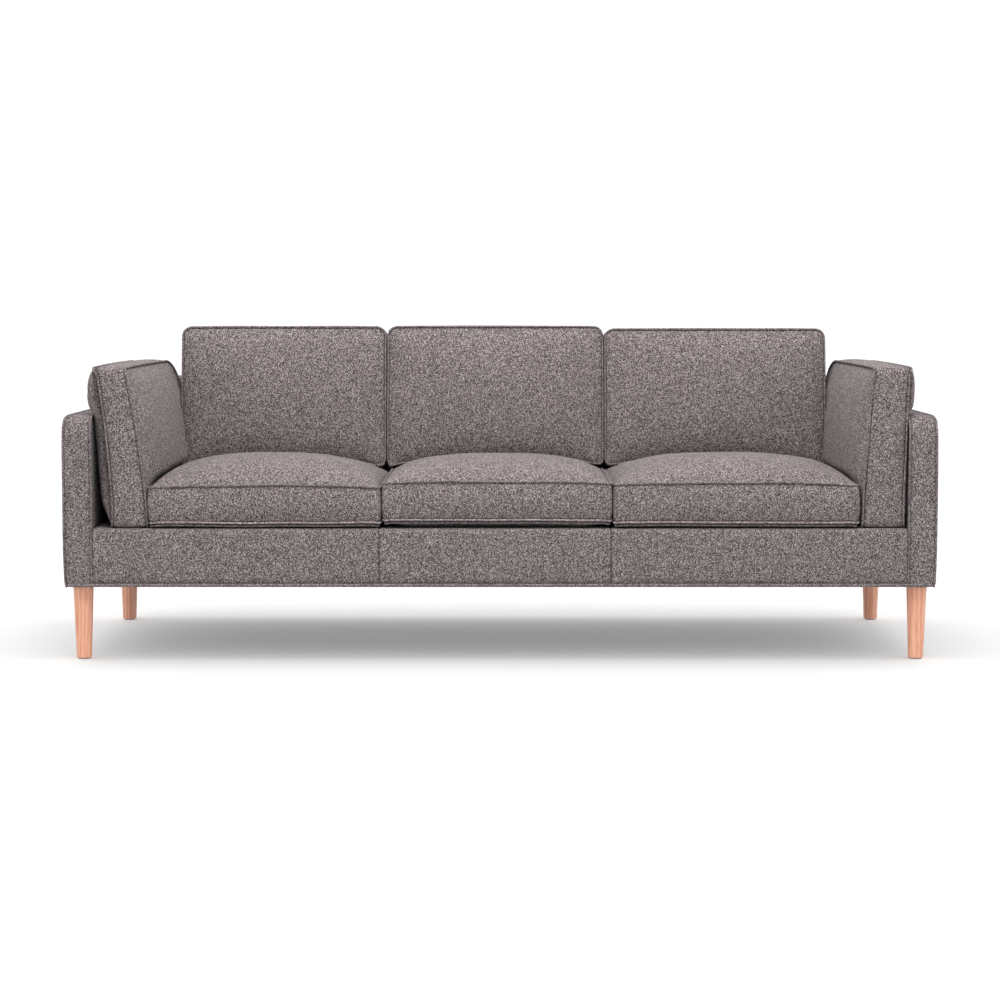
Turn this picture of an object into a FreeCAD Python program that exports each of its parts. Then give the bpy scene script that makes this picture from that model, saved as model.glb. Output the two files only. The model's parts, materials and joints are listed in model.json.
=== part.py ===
import FreeCAD, Part
import math
import os

# Three-seat sofa: a sprung seat base with two thin padded arms and a padded back bolted round it, standing on
# four tapered wooden legs. Three seat cushions, three back cushions and two arm bolsters lie loose on it.
# Millimetres. The origin is on the floor under the middle of the sofa; -Y is the front, +Z is up,
# and "left" is -X, the left of somebody who stands in front and faces the sofa.

V = FreeCAD.Vector
os.makedirs("parts", exist_ok=True)

# Overall size
width = 2220.0            # over the outer faces of the arms
depth = 890.0             # front of the arms to the outside back
base_bottom = 188.0       # underside of the upholstered base
deck_top = 337.0          # what the seat cushions lie on
arm_top = 625.0
back_top = 700.0
arm_thickness = 75.0

# Upholstery and timber
cover = 2.0               # woven fabric
arm_pad = 6.0             # foam between fabric and frame
back_pad = 6.0
board = 25.0              # thickness of the frame boards
panel = 3.0               # hardboard on both faces of an arm
corner_radius = 45.0      # front and rear top corners of an arm, seen from the side
edge_radius = 8.0         # along the sewn edges of an arm

# Cushions
seat_splits = (-896.0, -301.0, 286.0, 911.0)    # sides of the seat cushions, left to right
back_splits = (-880.0, -314.0, 288.0, 900.0)    # sides of the back cushions, left to right
cushion_gap = 0.8         # between two cushions
seat_seam = 446.0         # height of the sewn edge round a seat cushion's top
seat_crown = 64.0         # how far its middle stands above that edge
seat_front = -441.0
seat_rear = 288.0
seat_peak = -170.0        # Y of the crown's top, behind which it falls away evenly to the rear
back_lean = 9.3           # degrees from upright
back_height = 377.0       # along the lean
back_boxing = 150.0       # width of the band between its front and rear faces
back_crown = 25.0         # front face, in the middle
back_foot = (132.0, 473.0)  # Y and Z of the lower front edge, just above the slope of the seat cushions
cushion_cover = 2.5       # fabric and wadding over the foam core

# Legs
leg_top_radius = 26.0
leg_foot_radius = 19.0
leg_inset_x = 44.5        # leg axis from the arm's outer face
leg_inset_y = 45.0        # front leg axis from the front
rear_leg_inset_y = 63.0
glide_height = 3.0
glide_radius = 15.0

half_width = width / 2
half_depth = depth / 2
arm_inside = half_width - arm_thickness
frame_bottom = base_bottom + cover
rail_top = 327.0
frame_front = -half_depth + cover + arm_pad
frame_rear = half_depth - cover


def box(x0, x1, y0, y1, z0, z1):
    return Part.makeBox(x1 - x0, y1 - y0, z1 - z0, V(x0, y0, z0))


def cylinder(radius, start, direction, length):
    return Part.makeCylinder(radius, length, V(*start), V(*direction))


def save(name, *shapes):
    """Writes one node; several shapes are separate solids of that node."""
    shape = shapes[0] if len(shapes) == 1 else Part.makeCompound(list(shapes))
    for solid in shape.Solids:
        if not solid.isValid() or solid.Volume <= 0:
            raise ValueError(f"{name} has a bad solid")
    if not shape.Solids:
        raise ValueError(f"{name} has no solid")
    shape.exportStep(f"parts/{name}.step")


def mirrored(shape):
    """The same shape on the other side of the sofa."""
    return shape.mirror(V(0, 0, 0), V(1, 0, 0))


def closed_face(edges):
    return Part.Face(Part.Wire(Part.__sortEdges__(edges)))


def line(a, b):
    return Part.LineSegment(V(*a), V(*b)).toShape()


def arc(a, middle, b):
    return Part.Arc(V(*a), V(*middle), V(*b)).toShape()


def inset(face, distance):
    """A flat outline drawn in by a distance, with its corners kept sharp."""
    return face if distance == 0 else face.makeOffset2D(-distance, join=2)


# Arms -----------------------------------------------------------------------------------------------------

def arm_form(offset):
    """The right arm's slab, drawn in from its skin by an offset."""
    lift = min(offset, cover)
    slab = box(
        arm_inside + offset, half_width - offset,
        -half_depth + offset, half_depth - offset,
        base_bottom + lift, arm_top - offset,
    )
    across = [
        e for e in slab.Edges
        if abs(e.Vertexes[0].X - e.Vertexes[1].X) > 1 and e.BoundBox.ZMin > arm_top - offset - 1
    ]
    slab = slab.makeFillet(corner_radius - offset, across)
    if offset < edge_radius - 1:
        outline = [
            e for e in slab.Edges
            if e.BoundBox.XLength < 1e-3 and e.BoundBox.ZMax > base_bottom + lift + 1
        ]
        slab = slab.makeFillet(edge_radius - offset, outline)
    return slab


def leg_places():
    """Leg axes, front left, front right, rear left, rear right."""
    x = half_width - leg_inset_x
    front, rear = -half_depth + leg_inset_y, half_depth - rear_leg_inset_y
    return {
        "front_left": (-x, front), "front_right": (x, front),
        "rear_left": (-x, rear), "rear_right": (x, rear),
    }


plate_half_x, plate_half_y = 22.0, 32.0
screw_x, screw_y = 16.0, 26.5
hanger_radius = 4.0
hanger_in_leg, hanger_in_frame = 35.0, 18.0


def plate_blanks():
    """The room each leg plate takes up, let into the fabric under an arm."""
    return [
        box(x - plate_half_x, x + plate_half_x, y - plate_half_y, y + plate_half_y, base_bottom, frame_bottom)
        for x, y in leg_places().values()
    ]


def plate_screws():
    """Pan-head wood screws, up through each plate into the arm's post."""
    head_radius, head_height, shank_radius, length = 3.2, 1.6, 1.9, 24.0
    screws = []
    for x, y in leg_places().values():
        for sx in (-screw_x, screw_x):
            for sy in (-screw_y, screw_y):
                at = (x + sx, y + sy, base_bottom)
                head = cylinder(head_radius, (at[0], at[1], at[2] - head_height), (0, 0, 1), head_height)
                screws.append(head.fuse(cylinder(shank_radius, at, (0, 0, 1), length)).removeSplitter())
    return screws


def leg_plates():
    """Steel plates, tapped in the middle for a hanger bolt and drilled for four screws."""
    screws = Part.makeCompound(plate_screws())
    tapped = Part.makeCompound([
        cylinder(hanger_radius, (x, y, base_bottom), (0, 0, 1), cover) for x, y in leg_places().values()
    ])
    return [blank.cut(screws).cut(tapped) for blank in plate_blanks()]


def hanger_bolts():
    bolts = []
    for x, y in leg_places().values():
        bottom = base_bottom - hanger_in_leg
        reach = hanger_in_leg + cover + hanger_in_frame
        bolts.append(cylinder(hanger_radius, (x, y, bottom), (0, 0, 1), reach))
    return bolts


arm_bolt_y = (-250.0, 0.0, 250.0)
arm_bolt_z = 260.0
arm_bolt_radius = 4.0


def arm_bolts(side):
    """Hex-head bolts from inside the base, through its side rail into the arm's lower rail."""
    head_radius, head_height, shank = 7.5, 5.5, 68.0
    start = arm_inside - board
    bolts = []
    for y in arm_bolt_y:
        head = Part.Face(Part.makePolygon([
            V(start - head_height, y + head_radius * math.cos(math.pi * k / 3),
              arm_bolt_z + head_radius * math.sin(math.pi * k / 3))
            for k in range(7)
        ])).extrude(V(head_height, 0, 0))
        bolt = head.fuse(cylinder(arm_bolt_radius, (start, y, arm_bolt_z), (1, 0, 0), shank)).removeSplitter()
        bolts.append(bolt if side > 0 else mirrored(bolt))
    return bolts


def arm_nuts(side):
    """Tee nuts on the outer face of the arm's lower rail."""
    face = arm_inside + cover + arm_pad + panel + board
    nuts = []
    for y in arm_bolt_y:
        flange = cylinder(9.0, (face, y, arm_bolt_z), (1, 0, 0), 2.0)
        flange = flange.cut(cylinder(arm_bolt_radius, (face, y, arm_bolt_z), (1, 0, 0), 2.0))
        nuts.append(flange if side > 0 else mirrored(flange))
    return nuts


def build_arm():
    """The pieces of the right arm, by name."""
    skin = arm_form(0)
    under_skin = arm_form(cover)
    frame_form = arm_form(cover + arm_pad)
    inside, outside = arm_inside + cover + arm_pad, half_width - cover - arm_pad
    post_depth, top_rail_height, low_rail_top = 75.0, 28.0, 320.0
    post_top = arm_top - cover - arm_pad - top_rail_height
    plates = Part.makeCompound([p for p in plate_blanks() if p.BoundBox.XMin > 0])
    screws = Part.makeCompound([s for s in plate_screws() if s.BoundBox.XMin > 0])
    bolts = Part.makeCompound(arm_bolts(1))
    relief = [
        cylinder(hanger_radius + 2, (x, y, frame_bottom), (0, 0, 1), hanger_in_frame + 4)
        for x, y in leg_places().values() if x > 0
    ]
    posts = []
    for y0 in (frame_front, -frame_front - post_depth):
        post = box(inside + panel, outside - panel, y0, y0 + post_depth, frame_bottom, post_top)
        posts.append(post.common(frame_form).cut(screws).cut(Part.makeCompound(relief)))
    top_rail = box(inside + panel, outside - panel, frame_front, -frame_front, post_top, arm_top)
    top_rail = top_rail.common(frame_form)
    low_rail = box(
        inside + panel, inside + panel + board, frame_front + post_depth, -frame_front - post_depth,
        frame_bottom, low_rail_top,
    ).cut(bolts).cut(screws)
    panels = [
        box(x0, x0 + panel, -half_depth, half_depth, frame_bottom, arm_top)
        .common(frame_form).cut(bolts).cut(screws)
        for x0 in (inside, outside - panel)
    ]
    return {
        "posts": posts,
        "top_rail": [top_rail],
        "low_rail": [low_rail],
        "panels": panels,
        "padding": [under_skin.cut(frame_form).cut(bolts)],
        "cover": [skin.cut(under_skin).cut(bolts).cut(plates)],
    }


# Base -----------------------------------------------------------------------------------------------------

stretcher_x = 345.0
stretcher_top = 300.0
block_leg = 90.0


def build_base():
    inner_x = arm_inside - board
    bolts = Part.makeCompound(arm_bolts(1) + arm_bolts(-1))
    rail = box(inner_x, arm_inside, frame_front + board, frame_rear - board, frame_bottom, rail_top)
    rails = [rail.cut(bolts)]
    rails.append(mirrored(rails[0]))
    front = box(-arm_inside, arm_inside, frame_front, frame_front + board, frame_bottom, rail_top)
    rear = box(-arm_inside, arm_inside, frame_rear - board, frame_rear, frame_bottom, deck_top)
    rear = rear.cut(Part.makeCompound(bracket_screws()))
    stretchers = [
        box(x - board / 2, x + board / 2, frame_front + board, frame_rear - board,
            frame_bottom, stretcher_top)
        for x in (-stretcher_x, stretcher_x)
    ]
    blocks = []
    for sx in (-1, 1):
        for y, sy in ((frame_front + board, 1), (frame_rear - board, -1)):
            corner = V(sx * inner_x, y, frame_bottom)
            along_x = corner + V(-sx * block_leg, 0, 0)
            along_y = corner + V(0, sy * block_leg, 0)
            triangle = Part.makePolygon([corner, along_x, along_y, corner])
            blocks.append(Part.Face(triangle).extrude(V(0, 0, 80)))
    save("front_rail", front)
    save("rear_rail", rear)
    save("side_rails", *rails)
    save("centre_stretchers", *stretchers)
    save("corner_blocks", *blocks)


# Seat suspension and deck -----------------------------------------------------------------------------------

spring_wire = 1.9         # wire radius
spring_z = rail_top + spring_wire
spring_half_width = 23.0
spring_bend = 15.0        # radius of each bend, so bars are twice that apart
spring_turns = 27
springs_per_seat = 4
seat_bays = (-1010.0, -stretcher_x, stretcher_x, 1010.0)


def spring_places():
    places = []
    for x0, x1 in zip(seat_bays, seat_bays[1:]):
        pitch = (x1 - x0) / springs_per_seat
        places += [x0 + pitch * (k + 0.5) for k in range(springs_per_seat)]
    return places


def sinuous_spring():
    """One zigzag spring about X = 0, from the front rail to the rear rail."""
    reach = spring_half_width - spring_bend
    y = -spring_turns * spring_bend + (frame_front + frame_rear) / 2
    edges, side = [], 1
    for _ in range(spring_turns):
        edges.append(line((-side * reach, y, spring_z), (side * reach, y, spring_z)))
        middle = (side * (reach + spring_bend), y + spring_bend, spring_z)
        edges.append(arc((side * reach, y, spring_z), middle, (side * reach, y + 2 * spring_bend, spring_z)))
        y += 2 * spring_bend
        side = -side
    edges.append(line((-side * reach, y, spring_z), (side * reach, y, spring_z)))
    path = Part.Wire(edges)
    start = path.Vertexes[0].Point
    section = Part.Wire(Part.makeCircle(spring_wire, V(-reach, start.y, spring_z), V(1, 0, 0)))
    return path.makePipeShell([section], True, True)


def spring_clip(rail_face, inward):
    """A steel clip on a rail's inner face, closed round a spring's end bar."""
    ring_inner, ring_outer, length, tab = spring_wire + 0.3, spring_wire + 1.5, 14.0, 1.2
    y = (frame_front + frame_rear) / 2 - inward * spring_turns * spring_bend
    ring = cylinder(ring_outer, (-length / 2, y, spring_z), (1, 0, 0), length)
    y0, y1 = sorted((rail_face, rail_face + inward * tab))
    reach0, reach1 = sorted((rail_face, y))
    leaf = box(-length / 2, length / 2, y0, y1, rail_top - 24, spring_z)
    neck = box(-length / 2, length / 2, reach0, reach1, spring_z - ring_outer, spring_z - ring_inner)
    clip = ring.fuse(leaf).fuse(neck).cut(cylinder(ring_inner, (-length / 2, y, spring_z), (1, 0, 0), length))
    return clip.removeSplitter()


def build_suspension():
    spring = sinuous_spring()
    springs, clips = [], []
    front_clip = spring_clip(frame_front + board, 1)
    rear_clip = spring_clip(frame_rear - board, -1)
    for x in spring_places():
        springs.append(spring.translated(V(x, 0, 0)))
        clips += [c.translated(V(x, 0, 0)) for c in (front_clip, rear_clip)]
    tie_radius = 1.3
    tie_z = spring_z - spring_wire - tie_radius
    ties = [
        cylinder(tie_radius, (board - arm_inside, y, tie_z), (1, 0, 0), 2 * (arm_inside - board))
        for y in (-135.0, 135.0)
    ]
    save("seat_springs", *springs)
    save("spring_clips", *clips)
    save("spring_tie_wires", *ties)
    pad_bottom, pad_top, clip_room = spring_z + spring_wire + 0.2, deck_top - cover, 15.0
    save("deck_pad", box(
        -arm_inside + board, arm_inside - board,
        frame_front + board + clip_room, frame_rear - board - clip_room,
        pad_bottom, pad_top,
    ))


front_return = 100.0      # how far the front fabric runs back over the deck
front_flap = 45.0         # and under the base


def front_form(offset, reach, bottom):
    """The front rail's slab with a rounded top edge, drawn in by an offset."""
    slab = box(-arm_inside, arm_inside, -half_depth + offset, -half_depth + reach, bottom, deck_top - offset)
    front, top = -half_depth + offset + 1, deck_top - offset - 1
    edge = [
        e for e in slab.Edges
        if e.BoundBox.XLength > 1000 and e.BoundBox.YMax < front and e.BoundBox.ZMin > top
    ]
    return slab.makeFillet(12.0 - offset, edge)


def build_base_upholstery():
    skin = front_form(0, front_return, base_bottom)
    inner = front_form(cover, front_return + 1, frame_bottom)
    flap_end = box(-arm_inside, arm_inside, -half_depth + front_flap, 0, base_bottom, frame_bottom)
    save("front_rail_cover", skin.cut(inner).cut(flap_end))
    rail = box(-arm_inside, arm_inside, frame_front, frame_front + board, frame_bottom, rail_top)
    save("front_rail_padding", front_form(cover, cover + arm_pad + board, frame_bottom).cut(rail))
    save("deck_cloth", box(
        -arm_inside, arm_inside, -half_depth + front_return, frame_rear - board,
        deck_top - cover, deck_top,
    ))
    save("dust_cover", box(
        -arm_inside, arm_inside, -half_depth + front_flap, frame_rear,
        base_bottom + 0.5, frame_bottom,
    ))


# Back -----------------------------------------------------------------------------------------------------

back_seat_y = 290.0       # inside face of the back at the deck
back_top_y = 348.0        # and at its top
webbing = 2.0
bracket_leg, bracket_steel = 40.0, 2.5


def back_form(offset):
    """The back's wedge, drawn in from its skin by an offset on the front, top and ends, and open behind."""
    slope = math.hypot(1, (back_top_y - back_seat_y) / (back_top - deck_top))
    foot_y, top_y = back_seat_y + offset * slope, back_top_y + offset * slope
    top_y -= offset * (back_top_y - back_seat_y) / (back_top - deck_top)
    top = back_top - offset
    x = arm_inside - offset
    outline = Part.makePolygon([V(-x, foot_y, deck_top), V(-x, top_y, top), V(-x, frame_rear, top),
                                V(-x, frame_rear, deck_top), V(-x, foot_y, deck_top)])
    wedge = Part.Face(outline).extrude(V(2 * x, 0, 0))
    edge = [
        e for e in wedge.Edges
        if e.BoundBox.XLength > 1000 and e.BoundBox.ZMin > top - 1 and e.BoundBox.YMax < frame_rear - 20
    ]
    return wedge.makeFillet(30.0 - offset, edge)


def upright_places():
    """Left side of each upright board of the back."""
    end = arm_inside - cover - back_pad - webbing
    return -end, -stretcher_x - board / 2, stretcher_x - board / 2, end - board


def bracket_corners():
    """Where each bracket's bend sits on the rear rail, and which way its foot points."""
    places = upright_places()
    return [(places[0] + board, 1), (places[1] + board, 1), (places[2], -1), (places[3], -1)]


def back_brackets():
    """Steel angles that hold the uprights on the rear rail."""
    screws = Part.makeCompound(bracket_screws())
    brackets = []
    for x, way in bracket_corners():
        y0, y1 = frame_rear - board + 2, frame_rear - 2
        foot = box(*sorted((x, x + way * bracket_leg)), y0, y1, deck_top, deck_top + bracket_steel)
        wall = box(*sorted((x, x + way * bracket_steel)), y0, y1, deck_top, deck_top + bracket_leg)
        brackets.append(foot.fuse(wall).removeSplitter().cut(screws))
    return brackets


def bracket_screws():
    """Pan-head wood screws, one down into the rail and one across into the upright."""
    head_radius, head_height, shank_radius, length = 3.6, 1.8, 2.0, 20.0
    y, reach = frame_rear - board / 2, 26.0
    screws = []
    for x, way in bracket_corners():
        down = (x + way * reach, y, deck_top + bracket_steel)
        across = (x + way * bracket_steel, y, deck_top + reach)
        for start, direction in ((down, (0, 0, -1)), (across, (-way, 0, 0))):
            head = cylinder(head_radius, start, tuple(-d for d in direction), head_height)
            screws.append(head.fuse(cylinder(shank_radius, start, direction, length)).removeSplitter())
    return screws


def build_back():
    skin, under_skin = back_form(0), back_form(cover)
    strap_form, frame_form = back_form(cover + back_pad), back_form(cover + back_pad + webbing)
    screws = Part.makeCompound(bracket_screws())
    top_rail = box(-arm_inside, arm_inside, 0, frame_rear, 650, back_top).common(frame_form)
    low_rail = box(-arm_inside, arm_inside, 0, 330, deck_top, 380).common(frame_form)
    uprights = [
        box(x, x + board, 0, frame_rear, deck_top, 650).common(frame_form).cut(low_rail).cut(screws)
        for x in upright_places()
    ]
    layer = strap_form.cut(frame_form)
    half_strap, spacing, straps = 25.0, 220.0, []
    for k in range(-4, 5):
        x = k * spacing
        room = box(x - half_strap, x + half_strap, 0, frame_rear - 60, deck_top + 8, 672)
        straps.append(layer.common(room))
    save("back_top_rail", top_rail)
    save("back_low_rail", low_rail)
    save("back_uprights", *uprights)
    save("back_brackets", *back_brackets())
    save("bracket_screws", *bracket_screws())
    save("back_webbing", *straps)
    save("back_padding", under_skin.cut(strap_form))
    save("back_cover", skin.cut(under_skin))
    save("outside_back_panel", box(
        -arm_inside, arm_inside, frame_rear, half_depth, base_bottom, back_top - 8,
    ))


# Legs -----------------------------------------------------------------------------------------------------

def leg(x, y):
    """A round leg that tapers to the floor, bored for its hanger bolt."""
    turned = Part.makeCone(leg_foot_radius, leg_top_radius, base_bottom - glide_height, V(x, y, glide_height))
    foot = [
        e for e in turned.Edges
        if e.BoundBox.ZMax < glide_height + 1 and e.BoundBox.XLength > leg_foot_radius
    ]
    turned = turned.makeFillet(1.5, foot)
    return turned.cut(cylinder(hanger_radius, (x, y, base_bottom - hanger_in_leg), (0, 0, 1), hanger_in_leg))


def build_legs():
    for name, (x, y) in leg_places().items():
        save(f"leg_{name}", leg(x, y))
    save("leg_glides", *[
        cylinder(glide_radius, (x, y, 0), (0, 0, 1), glide_height) for x, y in leg_places().values()
    ])
    save("leg_plates", *leg_plates())
    save("leg_plate_screws", *plate_screws())
    save("hanger_bolts", *hanger_bolts())


# Cushions -------------------------------------------------------------------------------------------------

def seat_cushion(x0, x1, offset):
    """A box cushion with a crowned top that falls away to its rear; drawn in by an offset."""
    z0, z1, peak = deck_top + 0.3, seat_seam, seat_seam + seat_crown
    rise = (seat_peak - seat_front) / 2
    side = closed_face([
        line((0, seat_front, z0), (0, seat_front, z1)),
        arc((0, seat_front, z1), (0, seat_peak - rise, z1 + seat_crown * 0.75), (0, seat_peak, peak)),
        line((0, seat_peak, peak), (0, seat_rear, z1)),
        line((0, seat_rear, z1), (0, seat_rear, z0)),
        line((0, seat_rear, z0), (0, seat_front, z0)),
    ])
    middle_x = (x0 + x1) / 2
    face = closed_face([
        line((x0, 0, z0), (x0, 0, z1)),
        arc((x0, 0, z1), (middle_x, 0, peak), (x1, 0, z1)),
        line((x1, 0, z1), (x1, 0, z0)),
        line((x1, 0, z0), (x0, 0, z0)),
    ])
    along = inset(side, offset).extrude(V(x1 - x0, 0, 0)).translated(V(x0, 0, 0))
    across = inset(face, offset).extrude(V(0, depth, 0)).translated(V(0, -half_depth, 0))
    return along.common(across)


def back_cushion(x0, x1, offset):
    """A box cushion crowned on both faces and leaned back, so that its foot follows the slope of the seat."""
    low, high = offset, back_height - offset
    front, rear = offset, back_boxing - offset
    mid_z, rear_crown, top_crown = back_height / 2, 20.0, 6.0
    side = closed_face([
        arc((0, front, low), (0, front - back_crown, mid_z), (0, front, high)),
        arc((0, front, high), (0, back_boxing / 2, high + top_crown), (0, rear, high)),
        arc((0, rear, high), (0, rear + rear_crown, mid_z), (0, rear, low)),
        line((0, rear, low), (0, front, low)),
    ])
    left, right, middle = x0 + offset, x1 - offset, (x0 + x1) / 2
    plan = closed_face([
        arc((left, front, 0), (middle, front - back_crown - 1, 0), (right, front, 0)),
        line((right, front, 0), (right, rear, 0)),
        arc((right, rear, 0), (middle, rear + rear_crown + 1, 0), (left, rear, 0)),
        line((left, rear, 0), (left, front, 0)),
    ])
    along = side.extrude(V(x1 - x0 + 40, 0, 0)).translated(V(x0 - 20, 0, 0))
    up = plan.extrude(V(0, 0, 600)).translated(V(0, 0, -100))
    cushion = along.common(up)
    cushion.rotate(V(0, 0, 0), V(1, 0, 0), -back_lean)
    return cushion.translated(V(0, back_foot[0], back_foot[1]))


bolster_front, bolster_rear = -436.0, 286.0
bolster_top = 742.0


def bolster(side, inner_foot, outer_foot, inner_top, offset):
    """An arm bolster that stands on the deck and leans over the arm's top; side is -1 left, 1 right."""
    z0, level = deck_top + 0.3, 452.0
    arm_clear = arm_inside - 0.6
    over_arm = arm_inside + 15.0
    bow = 2.5
    section = closed_face([
        line((inner_foot, 0, z0), (inner_foot, 0, level)),
        arc((inner_foot, 0, level), (inner_foot - 7, 0, 560), (inner_top, 0, bolster_top)),
        arc((inner_top, 0, bolster_top), ((inner_top + over_arm - 20) / 2, 0, bolster_top + 12),
            (over_arm - 20, 0, bolster_top)),
        arc((over_arm - 20, 0, bolster_top), (over_arm, 0, 700), (over_arm - 6, 0, arm_top + 18)),
        line((over_arm - 6, 0, arm_top + 18), (arm_clear, 0, arm_top - 6)),
        line((arm_clear, 0, arm_top - 6), (arm_clear, 0, 520)),
        arc((arm_clear, 0, 520), ((arm_clear + outer_foot) / 2 + bow, 0, (520 + z0) / 2),
            (outer_foot, 0, z0)),
        line((outer_foot, 0, z0), (inner_foot, 0, z0)),
    ])
    rear_corner = 60.0
    peak = bolster_top + 14
    profile = closed_face([
        line((0, bolster_front, z0), (0, bolster_front, bolster_top)),
        arc((0, bolster_front, bolster_top), (0, -100, peak),
            (0, bolster_rear - rear_corner, bolster_top + 6)),
        arc((0, bolster_rear - rear_corner, bolster_top + 6), (0, bolster_rear - 16, bolster_top - 18),
            (0, bolster_rear, bolster_top - 70)),
        line((0, bolster_rear, bolster_top - 70), (0, bolster_rear, z0)),
        line((0, bolster_rear, z0), (0, bolster_front, z0)),
    ])
    along = inset(section, offset).extrude(V(0, depth, 0)).translated(V(0, -half_depth, 0))
    across = inset(profile, offset).extrude(V(half_width + 200, 0, 0))
    solid = along.common(across)
    return solid if side > 0 else mirrored(solid)


def save_cushion(name, make):
    """A fabric cover and the foam core that fills it."""
    core = make(cushion_cover)
    save(f"{name}_cover", make(0).cut(core))
    save(f"{name}_core", core)


def build_cushions():
    names = ("left", "centre", "right")
    gap = cushion_gap / 2
    for name, x0, x1 in zip(names, seat_splits, seat_splits[1:]):
        save_cushion(f"seat_{name}", lambda o, a=x0 + gap, b=x1 - gap: seat_cushion(a, b, o))
    for name, x0, x1 in zip(names, back_splits, back_splits[1:]):
        save_cushion(f"back_{name}", lambda o, a=x0 + gap, b=x1 - gap: back_cushion(a, b, o))
    save_cushion("bolster_left", lambda o: bolster(-1, 902.0, 992.0, 952.0, o))
    save_cushion("bolster_right", lambda o: bolster(1, 918.0, 1022.0, 956.0, o))


build_base()
build_suspension()
build_base_upholstery()
for part, solids in build_arm().items():
    save(f"right_arm_{part}", *solids)
    save(f"left_arm_{part}", *[mirrored(s) for s in solids])
save("arm_bolts", *(arm_bolts(1) + arm_bolts(-1)))
save("arm_nuts", *(arm_nuts(1) + arm_nuts(-1)))
build_back()
build_legs()
build_cushions()
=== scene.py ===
import json
import math

import bpy
import numpy as np
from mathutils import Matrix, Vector, noise


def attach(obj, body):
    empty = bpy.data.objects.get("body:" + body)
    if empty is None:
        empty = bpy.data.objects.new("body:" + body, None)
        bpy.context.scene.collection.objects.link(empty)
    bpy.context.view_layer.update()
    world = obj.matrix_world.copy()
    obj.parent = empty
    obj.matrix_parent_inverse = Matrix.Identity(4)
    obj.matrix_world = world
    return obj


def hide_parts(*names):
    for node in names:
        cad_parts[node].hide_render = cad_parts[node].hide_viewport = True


# Looks of a three-seat sofa: tweed upholstery with welted seams, loose cushions and turned wooden legs.
# Metres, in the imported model's frame: +Z up, -Y the front, the origin on the floor under the middle.

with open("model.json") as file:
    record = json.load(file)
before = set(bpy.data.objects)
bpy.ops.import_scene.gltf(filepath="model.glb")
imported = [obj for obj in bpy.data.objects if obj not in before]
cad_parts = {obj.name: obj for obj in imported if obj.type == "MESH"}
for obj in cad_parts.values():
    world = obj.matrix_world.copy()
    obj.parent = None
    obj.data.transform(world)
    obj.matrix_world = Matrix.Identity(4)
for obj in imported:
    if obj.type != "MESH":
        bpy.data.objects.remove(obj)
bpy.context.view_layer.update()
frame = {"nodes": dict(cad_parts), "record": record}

STEP = 0.012                   # spacing of a soft piece's mesh
SEAM_STEPS = (0.0035, 0.009)   # closer rows beside a seam
GAP = 0.0004                   # kept between a soft piece and each neighbour

WELT = 0.0027                  # radius of the piping round the cushions and arms
WELT_SINK = 0.0005             # how far piping lies inside the edge of a pad
WELT_CORNER_SINK = 0.0012      # and how much further halfway round a corner
INSET = WELT + GAP             # from the side of a cushion's place to its sewn edge
GROOVE = 0.0023                # how far a sewn edge is drawn in under its piping
CORNER_RELIEF = 0.6            # how much less of that there is round a corner
BASE_WELT = 0.0046             # radius of the thicker piping along the bottom of the base
PROUD_WELT = 0.0015            # how far a seat cushion's bottom piping stands out
UNDER_WELT = 0.0024            # radius of the second piping under it,
UNDER_WELT_DROP = 0.0078       # how far that lies below the seam
UNDER_WELT_INSET = 0.0040      # and behind it

SIM_FRAMES = 20                # steps of the cloth simulation
SIM_PRESSURE = 4.0
SIM_REACH = 0.006              # how far it may move a point

DECK = 0.337                   # height of what the seat cushions lie on
SEAT_FRONT, SEAT_REAR = -0.441, 0.288
SEAT_PEAK = -0.170             # Y of the seat cushions' highest point
SEAT_CORNER = 0.016            # radius of a seat cushion's corners, seen from above
SEAT_HELD_FROM = 0.07          # Y where a back cushion starts to hold the seat's top down,
SEAT_HELD_WITHIN = 0.05        # how far behind that it does so fully,
SEAT_FREE_RISE = 0.05          # and how far the top may rise ahead of it
SEATS = {
    # left and right side, bottom and top seam, crown
    "left": (-0.896, -0.301, 0.352, 0.439, 0.070),
    "centre": (-0.301, 0.286, 0.359, 0.450, 0.057),
    "right": (0.286, 0.915, 0.353, 0.446, 0.064),
}

BACKS = {
    # left and right side, height along the lean
    "left": (-0.884, -0.314, 0.398),
    "centre": (-0.314, 0.288, 0.399),
    "right": (0.288, 0.904, 0.392),
}
BACK_THICKNESS = 0.150
BACK_FOOT_Y, BACK_FOOT_Z = 0.132, 0.452
BACK_LEAN = math.radians(9.3)
BACK_CORNERS = (0.020, 0.020, 0.024, 0.024)
BACK_SOFT_FOOT = 0.16          # how far up a back cushion the seat's crown pushes it out of shape
BACK_FACE_Y, BACK_TOP_Y = 0.290, 0.348      # inside face of the sofa's back, at the deck and at its top
BACK_TOP = 0.700

ARM_INSIDE, ARM_OUTSIDE, ARM_TOP = 1.035, 1.110, 0.625
ARM_CORNERS = (0.004, 0.004, 0.045, 0.045)
BOLSTER_FRONT, BOLSTER_REAR, BOLSTER_TOP = -0.434, 0.284, 0.747
BOLSTER_CORNERS = (0.012, 0.012, 0.082, 0.014)
BOLSTERS = {
    # side; X of the inner and outer seam at the foot; how far each leans out by the top; how far the rear is
    # turned in; crown of the inner face; how full the outer face is below and above the arm; the X that the
    # inner face meets: the seat cushion's side and the back cushion's side
    "left": (-1, 0.898, 0.984, 0.052, 0.036, 0.041, 0.025, 0.032, 0.042, 0.896, 0.884),
    "right": (1, 0.922, 1.025, 0.026, 0.012, 0.029, 0.019, 0.014, 0.020, 0.915, 0.904),
}

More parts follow.
